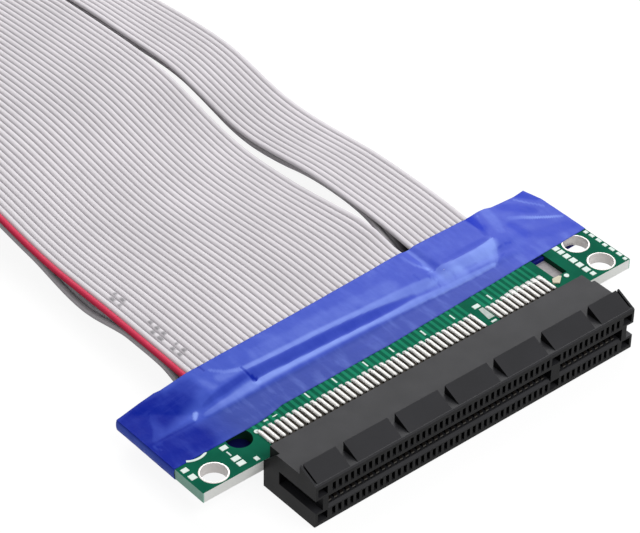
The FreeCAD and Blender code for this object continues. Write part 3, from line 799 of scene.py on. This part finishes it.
def contact_metal_finish():
    """Dark bronze, painted dark as shade: palest at the nose in the slot's mouth, darkest along the spring
    inside the slot, and dark again at the feet.
    """
    finish, tree, shader = new_finish("contact_metal", 0.3, metallic=1.0)
    # painted shade: the spring inside the slot and the feet where they leave the housing are painted near
    # black
    spring = place_effect(tree, place_along_cable, From=-0.00434, To=-0.00428)
    feet = place_effect(tree, place_along_cable, From=0.0058, To=0.0068)
    rough = drift(tree, 1500.0, 0.26, 0.42)
    shaded_blade = mixed_colour(tree, spring, (0.06, 0.057, 0.052), (0.005, 0.004, 0.0035))
    dress(tree, shader, mixed_colour(tree, feet, shaded_blade, (0.010, 0.009, 0.008)), rough)
    return finish


def tin_finish(name, dull, bright, low, high, metallic=1.0, relief=0.25):
    """Plated or soldered metal, duller and brighter in patches, with its roughness from low to high."""
    finish, tree, shader = new_finish(name, low, metallic)
    tone = drift(tree, 900.0)
    rough = drift(tree, 2100.0, low, high)
    grain = place_effect(tree, fine_grain, Scale=4000.0)
    dress(tree, shader, mixed_colour(tree, tone, dull, bright), rough, grain, strength=relief, depth=0.03)
    return finish


def mask_finish(name, dark, light):
    """Green solder mask."""
    finish, tree, shader = new_finish(name, 0.32, specular=0.006)
    tone = drift(tree, 240.0)
    rough = drift(tree, 700.0, 0.30, 0.45)
    grain = place_effect(tree, fine_grain, Scale=1600.0)
    green = mixed_colour(tree, tone, dark, light)
    dress(tree, shader, green, rough, grain, strength=0.15, depth=0.03)
    return finish, tree, shader, green


def board_finish(name, dark, light):
    """Green solder mask on the faces; pale glass on the front and rear cut edges, painted near white as
    painted light; grey-green side edges; hole walls painted dark as painted shade.
    """
    finish, tree, shader, green = mask_finish(name, dark, light)
    upright = ramp(tree, combine(tree, "ABSOLUTE", upward(tree)), 0.6, 0.4)
    place = split_xyz(tree, object_place(tree))
    from_middle = combine(tree, "ABSOLUTE", place["X"])
    within = 0.15
    # painted light: the front and rear cut edges are the board's pale glass, pushed near white
    pale_glass_and_light = (0.95, 0.96, 0.93)
    # painted shade: upright faces that are not outer edges, such as the walls of the holes, are painted dark
    # green
    wall = (0.012, 0.060, 0.036)
    for value, comparison, limit, edge in (
        (place["Y"], "LESS_THAN", board_low.y + within, pale_glass_and_light),
        (place["Y"], "GREATER_THAN", board_high.y - within, pale_glass_and_light),
        (from_middle, "GREATER_THAN", board_high.x - within, (0.37, 0.63, 0.52)),
    ):
        wall = mixed_colour(tree, combine(tree, comparison, value, limit * MM), wall, edge)
    tree.links.new(mixed_colour(tree, upright, green, wall), shader.inputs["Base Color"])
    return finish


def tape_finish():
    """Blue film with fine creases, painted with light and shade: pale painted highlights on its folds,
    painted shade in its hollows, creases painted lighter and darker, and a darker, greyer painted sheen over
    the board.
    """
    finish, tree, shader = new_finish("blue_tape_film", 0.3, specular=0.02)
    marks = place_effect(tree, rub_marks, Scale=260.0, Amount=0.25)
    rough = drift(tree, 500.0, 0.26, 0.42)
    grain = place_effect(tree, fine_grain, Scale=900.0)
    patches = drift(tree, 420.0, -0.07, 0.07)
    over_board = place_effect(tree, place_along_cable, From=0.0163, To=0.0157)
    x = split_xyz(tree, object_place(tree))["X"]

    # creases that run from edge to edge of the tape, strongest over the board, painted as lighter and darker
    # streaks
    creases = noise(tree, stretched_place(tree, (1.0, 0.22, 0.22)), 850.0, detail=4.0)
    depth = ramp(tree, over_board, 0.0, 1.0, 0.16, 0.40)
    crease_tone = combine(tree, "MULTIPLY", ramp(tree, creases, 0.25, 0.75, -0.5, 0.5), depth)
    tone = combine(tree, "ADD", combine(tree, "ADD", painted(tree, "tone"), patches), crease_tone)

    rightward = ramp(tree, x, -30.0 * MM, 25.0 * MM)
    inboard = combine(tree, "MULTIPLY", ramp(tree, x, -31.0 * MM, -26.0 * MM, 0.0, 0.75),
                      ramp(tree, x, 20.0 * MM, 27.0 * MM, 1.0, 0.0))
    # painted shade where the tone is dark, darker towards the left
    hollow = mixed_colour(tree, rightward, (0.004, 0.017, 0.32), (0.014, 0.040, 0.54))
    film = mixed_colour(tree, rightward, (0.062, 0.110, 0.58), (0.090, 0.130, 0.635))
    # painted dull sheen: darker and greyer over the board
    greyed_sheen = mixed_colour(tree, rightward, (0.046, 0.074, 0.33), (0.078, 0.110, 0.47))
    ground = mixed_colour(tree, ramp(tree, tone, -1.0, 0.0), hollow, film)
    sheen_strip = mixed_colour(tree, combine(tree, "MULTIPLY", over_board, inboard), ground, greyed_sheen)
    worn = mixed_colour(tree, marks, sheen_strip, (0.095, 0.135, 0.62))
    # painted highlight where the tone is pale
    colour = mixed_colour(tree, ramp(tree, tone, 0.0, 1.0), worn, (0.27, 0.38, 0.95))
    dress(tree, shader, colour, rough, grain, strength=0.4, depth=0.12)
    return finish


def jacket_finish(name, dark, light, groove_shade):
    """Ribbon jacket, painted darker down in the grooves between its wires as painted shade."""
    finish, tree, shader = new_finish(name, 0.42, specular=0.1)
    tone = drift(tree, 90.0)
    rough = drift(tree, 600.0, 0.38, 0.52)
    grain = place_effect(tree, fine_grain, Scale=3000.0)
    ridge = mixed_colour(tree, tone, dark, light)
    # printed dashes, and painted shade in the gap between the ribbons, both from the ink values
    printed = mixed_colour(tree, ramp(tree, painted(tree, "ink_and_shade"), 0.0, FULL_INK_AND_SHADE), ridge, (0.06, 0.06, 0.07))
    # painted shade: the grooves between the wires
    groove = painted(tree, "groove")
    groove_shaded = mixed_colour(tree, ramp(tree, groove, 0.62, 1.0), printed, groove_shade)
    # painted shade: an edge that lies in the dark goes near black
    colour = mixed_colour(tree, ramp(tree, groove, 1.0, 1.6), groove_shaded, (0.022, 0.021, 0.022))
    dress(tree, shader, colour, rough, grain, strength=0.12, depth=0.03)
    return finish


def plain_finish(name, dark, light, roughness=0.6, specular=0.08, scale=1800.0):
    """Print, flux and the like: one colour, a little uneven."""
    finish, tree, shader = new_finish(name, roughness, specular=specular)
    dress(tree, shader, mixed_colour(tree, drift(tree, scale), dark, light))
    return finish


black_moulding = black_moulding_finish()
contact_metal = contact_metal_finish()
solder = tin_finish("solder", (0.75, 0.74, 0.715), (0.83, 0.82, 0.795), 0.30, 0.44, metallic=0.1)
plated_rim = tin_finish("plated_rim", (0.68, 0.65, 0.63), (0.76, 0.73, 0.71), 0.28, 0.40,
                        metallic=0.2, relief=0.03)
finger_gold = tin_finish("finger_gold", (0.80, 0.56, 0.20), (0.92, 0.68, 0.30), 0.20, 0.34)
green_board = board_finish("green_board", (0.003, 0.100, 0.056), (0.005, 0.135, 0.075))
copper_under_mask = mask_finish("copper_under_mask", (0.010, 0.200, 0.110), (0.016, 0.260, 0.145))[0]
tape_film = tape_finish()
# painted shade: the tape's inner, sticky side is painted dark navy
tape_adhesive_in_shade = plain_finish("tape_adhesive_in_shade", (0.004, 0.006, 0.06), (0.006, 0.009, 0.09),
                             roughness=0.5, scale=300.0)
burnt_flux = plain_finish("burnt_flux", (0.008, 0.006, 0.004), (0.030, 0.022, 0.012),
                          roughness=0.35, specular=0.04, scale=900.0)
grey_jacket = jacket_finish("grey_jacket", (0.72, 0.69, 0.72), (0.79, 0.755, 0.79), (0.48, 0.455, 0.48))
red_jacket = jacket_finish("red_jacket", (0.60, 0.030, 0.080), (0.70, 0.042, 0.105), (0.42, 0.018, 0.050))
white_print = plain_finish("white_print", (0.74, 0.88, 0.82), (0.86, 0.94, 0.90))
pad_tin = plain_finish("pad_tin", (0.46, 0.52, 0.49), (0.56, 0.62, 0.58))
set_flux = plain_finish("set_flux", (0.66, 0.61, 0.46), (0.74, 0.69, 0.54))
# painted shadow: the tape and the table in the shade of the peg slot
shaded_tape = plain_finish("shaded_tape", (0.004, 0.009, 0.17), (0.006, 0.013, 0.21))
slot_shadow_grey = plain_finish("slot_shadow_grey", (0.36, 0.34, 0.35), (0.42, 0.40, 0.41))


def refinish(ending, finish):
    """New material on the solids whose names have an ending. Their shapes stay as they are."""
    for name in nodes:
        if name.endswith(ending):
            mesh = nodes[name].data
            mesh.materials.clear()
            mesh.materials.append(finish)


refinish("_housing", black_moulding)
refinish("_contacts", contact_metal)
refinish("_wire_ends", solder)
refinish("_fingers", finger_gold)
refinish("_board", green_board)

# Tape, and copper on the plug
plug_front = [(-32.0, 262.8), (32.0, 262.8)]
plug_rear = [(-32.0, 275.4), (32.0, 275.4)]
plug_wrap = tape_round("plug_board_wrap", "plug_tape", 31.05, PLUG_MIDDLE,
                       plug_front, plug_front, plug_rear, plug_tape_lift, PLUG_TAPE_FOLDS)
tape_round("slot_board_wrap", "socket_tape", 37.8, BOARD_MIDDLE,
           TAPE_FRONT, TAPE_FRONT_BELOW, TAPE_REAR, slot_tape_lift, TAPE_FOLDS)
plug_runs = [(x - 0.2, x + 0.2, 274.9, 283.7) for x in PIN_PLACES]
plug_copper = []
for side, face in BOARD_FACES:
    name = "plug_%s_copper_runs" % face
    plug_copper.append(strips(name, plug_runs, PLUG_COPPER_THICKNESS, copper_under_mask, side, PLUG_MIDDLE))

# Ribbons, with the plug's pieces on their far end
plug_pieces = [plug_wrap, *plug_copper]
plug_pieces += [nodes[name] for name in nodes if name.startswith("plug_") and name != "plug_tape"]
signal_above = lay_ribbon("signal_ribbon_above", "upper_signal_ribbon", SIGNAL_WIRES, SIGNAL_LEFT,
                          UPPER_SIGNAL_ROUTE, [grey_jacket, red_jacket],
                          curl=RIGHT_EDGE_CURL, ink_and_shade_of=dash_ink)
signal_below = lay_ribbon("signal_ribbon_below", "lower_signal_ribbon", SIGNAL_WIRES, SIGNAL_LEFT,
                          LOWER_SIGNAL_ROUTE, [grey_jacket])
power_above = lay_ribbon("power_ribbon_above", "upper_power_ribbon", POWER_WIRES, POWER_LEFT,
                         UPPER_POWER_ROUTE, [grey_jacket])
power_below = lay_ribbon("power_ribbon_below", "lower_power_ribbon", POWER_WIRES, POWER_LEFT,
                         LOWER_POWER_ROUTE, [grey_jacket],
                         aside=LOWER_POWER_ASIDE, ink_and_shade_of=gap_shade, edge_shade=0.8)

# Solder, copper and flux on the slot board
for side, face in BOARD_FACES:
    solder_fillets("%s_solder_fillets" % face, side)
    runs = [(x - 0.27, x + 0.27, 10.1, along(TAPE_FRONT, x) + 0.5) for x in PIN_PLACES]
    strips("%s_copper_runs" % face, runs, COPPER_THICKNESS, copper_under_mask, side)
    gaps = [(a + 0.2, b - 0.2, 5.4, 9.7) for a, b in zip(PIN_PLACES, PIN_PLACES[1:]) if b - a < 1.5]
    strips("%s_flux" % face, gaps, FLUX_THICKNESS, burnt_flux, side)

# Print on the slot board, with plain blocks where it has lettering
ticks = [(x - 0.15, x + 0.15, 10.75, 11.9) for x in (-15.67, -10.97, -5.63, -1.0, 4.65, 9.93, 16.8)]
strips("pin_ticks", ticks, PRINT_THICKNESS, white_print)
print_blocks = [
    # beside the right screw holes
    (30.85, 31.85, 12.95, 13.75), (30.85, 31.85, 11.95, 12.75), (30.85, 31.85, 10.75, 11.65),
    (30.9, 31.9, 9.45, 10.45), (30.9, 31.9, 8.2, 9.15), (30.9, 31.9, 6.85, 7.85), (31.1, 31.9, 5.75, 6.5),
    # along the right edge
    (37.0, 37.6, 13.15, 13.8), (37.1, 37.65, 11.95, 12.8), (37.1, 37.65, 10.5, 11.45),
    (37.0, 37.6, 9.3, 10.05), (37.1, 37.65, 7.9, 8.85), (37.1, 37.65, 6.45, 7.4), (37.0, 37.6, 5.4, 6.0),
    # beside the left screw hole
    (-31.0, -29.9, 9.8, 10.6), (-30.75, -30.5, 8.45, 9.4), (-31.1, -29.9, 7.25, 8.1),
    (-31.1, -29.9, 6.15, 7.0), (-28.75, -28.1, 5.6, 6.4),
    (-37.4, -36.4, 9.6, 10.4), (-37.4, -36.4, 7.9, 8.9),
    # between the two rows of feet
    (13.45, 14.6, 10.6, 11.35), (13.35, 14.3, 7.0, 7.4),
    # beside the first feet
    (-23.3, -22.6, 10.75, 11.05), (-21.9, -21.0, 10.8, 11.0),
]
strips("print_blocks", print_blocks, PRINT_THICKNESS, white_print)
flat_patch("print_arc", arc_outline(-34.1, 13.3, 2.5, 2.85, 232.0, 300.0), white_print, high=0.85)
flat_patch("left_print_dot", arc_outline(-25.24, 9.95, 0.0, 0.36, 0.0, 360.0), white_print, high=0.9)
flat_patch("right_print_dot", arc_outline(28.26, 8.05, 0.0, 0.38, 0.0, 360.0), white_print, high=0.9)

# Other small work: a bare pad, a drop of flux, a grey sheet and a dark blue block in the peg slot that stand
# for painted shadow, and the plated holes
spare_pad = [(13.45, 7.85), (14.55, 7.85), (14.55, 10.25), (13.8, 10.25)]
flat_patch("spare_pad", spare_pad, pad_tin, high=0.85)
solder_patch = [(26.3, 7.35), (27.55, 8.3), (27.3, 8.6), (26.1, 8.65), (25.6, 8.0)]
flat_patch("solder_patch", solder_patch, set_flux, high=1.0)
# painted shadow: a grey sheet for the shaded table seen through the peg slot, and a dark blue block for the
# tape in shade at its rear
flat_patch("peg_slot_shadow_sheet", rectangle(26.55, 29.05, 8.7, 13.25), slot_shadow_grey, high=-0.05, low=-0.82)
flat_patch("peg_slot_shaded_tape", rectangle(26.55, 29.05, 13.2, 13.8), shaded_tape, high=0.5, low=-0.82)
hole_plating("screw_hole_plating", [(-34.3, 7.35), (34.3, 7.35), (34.3, 12.45)], inner=1.79, outer=2.02)


# Studio

def look_from(azimuth, elevation, roll, target, distance, focal_pixels):
    """Camera set by its angles in degrees, the place it looks at and its distance in millimetres."""
    az, el, turn = math.radians(azimuth), math.radians(elevation), math.radians(roll)
    back = Vector((math.sin(az) * math.cos(el), -math.cos(az) * math.cos(el), math.sin(el)))
    right = Vector((math.cos(az), math.sin(az), 0.0))
    up = back.cross(right)
    level_right = right * math.cos(turn) + up * math.sin(turn)
    level_up = up * math.cos(turn) - right * math.sin(turn)
    sensor_width = 36.0
    picture_width = 640.0
    lens = bpy.data.cameras.new("camera")
    lens.sensor_fit = "HORIZONTAL"
    lens.sensor_width = sensor_width
    lens.lens = focal_pixels * sensor_width / picture_width
    lens.clip_start = 0.01
    camera = bpy.data.objects.new("camera", lens)
    turned = Matrix((level_right, level_up, back)).transposed().to_4x4()
    camera.matrix_world = Matrix.Translation((Vector(target) + back * distance) * MM) @ turned
    scene.collection.objects.link(camera)
    scene.camera = camera


def soft_lamp(name, place, power):
    """Large square lamp aimed at the slot end, with its place and size in metres."""
    aim = (0.0, 0.04, 0.0)
    light = bpy.data.lights.new(name, "AREA")
    light.size = 0.5
    light.energy = power
    lamp = bpy.data.objects.new(name, light)
    lamp.location = place
    lamp.rotation_euler = (Vector(aim) - Vector(place)).to_track_quat("-Z", "Y").to_euler()
    scene.collection.objects.link(lamp)


def seen_directly(tree):
    """1 for what the camera sees, also mirrored in metal, 0 for the light that falls on things."""
    ray = tree.nodes.new("ShaderNodeLightPath").outputs
    seen = combine(tree, "MAXIMUM", ray["Is Camera Ray"], ray["Is Glossy Ray"])
    return combine(tree, "MAXIMUM", seen, ray["Is Transmission Ray"])


def white_room(strength):
    """World that looks white and lights the object softly."""
    world = bpy.data.worlds.new("white_room")
    world.use_nodes = True
    tree = world.node_tree
    sky = tree.nodes["Background"]
    sky.inputs["Color"].default_value = (1.0, 1.0, 1.0, 1.0)
    tree.links.new(ramp(tree, seen_directly(tree), 0.0, 1.0, strength, 1.0), sky.inputs["Strength"])
    scene.world = world


def pale_floor(reach, glow):
    """White table that keeps a faint shadow, with its reach in metres."""
    mesh = bpy.data.meshes.new("table")
    mesh.from_pydata([(x, y, 0.0) for x, y in rectangle(-reach, reach, -reach, reach)], [], [(0, 1, 2, 3)])
    table = bpy.data.objects.new("table", mesh)
    scene.collection.objects.link(table)
    finish, tree, shader = new_finish("white_table", 0.9, specular=0.0)
    shader.inputs["Emission Color"].default_value = (1.0, 1.0, 1.0, 1.0)
    direct = seen_directly(tree)
    dress(tree, shader, mixed_colour(tree, direct, (0.6, 0.6, 0.6), (0.14, 0.14, 0.14)))
    tree.links.new(ramp(tree, direct, 0.0, 1.0, 0.0, glow), shader.inputs["Emission Strength"])
    mesh.materials.append(finish)


look_from(azimuth=-40.712, elevation=38.199, roll=0.994, target=(3.2, 31.09, 4.3), distance=382.525,
          focal_pixels=2765.88)
soft_lamp("lamp_over_cable", (0.41, 0.48, 0.49), power=3.7)
soft_lamp("lamp_in_front", (0.16, -0.42, 0.60), power=2.8)
white_room(strength=0.32)
pale_floor(reach=3.0, glow=0.91)
scene.view_settings.view_transform = "Standard"
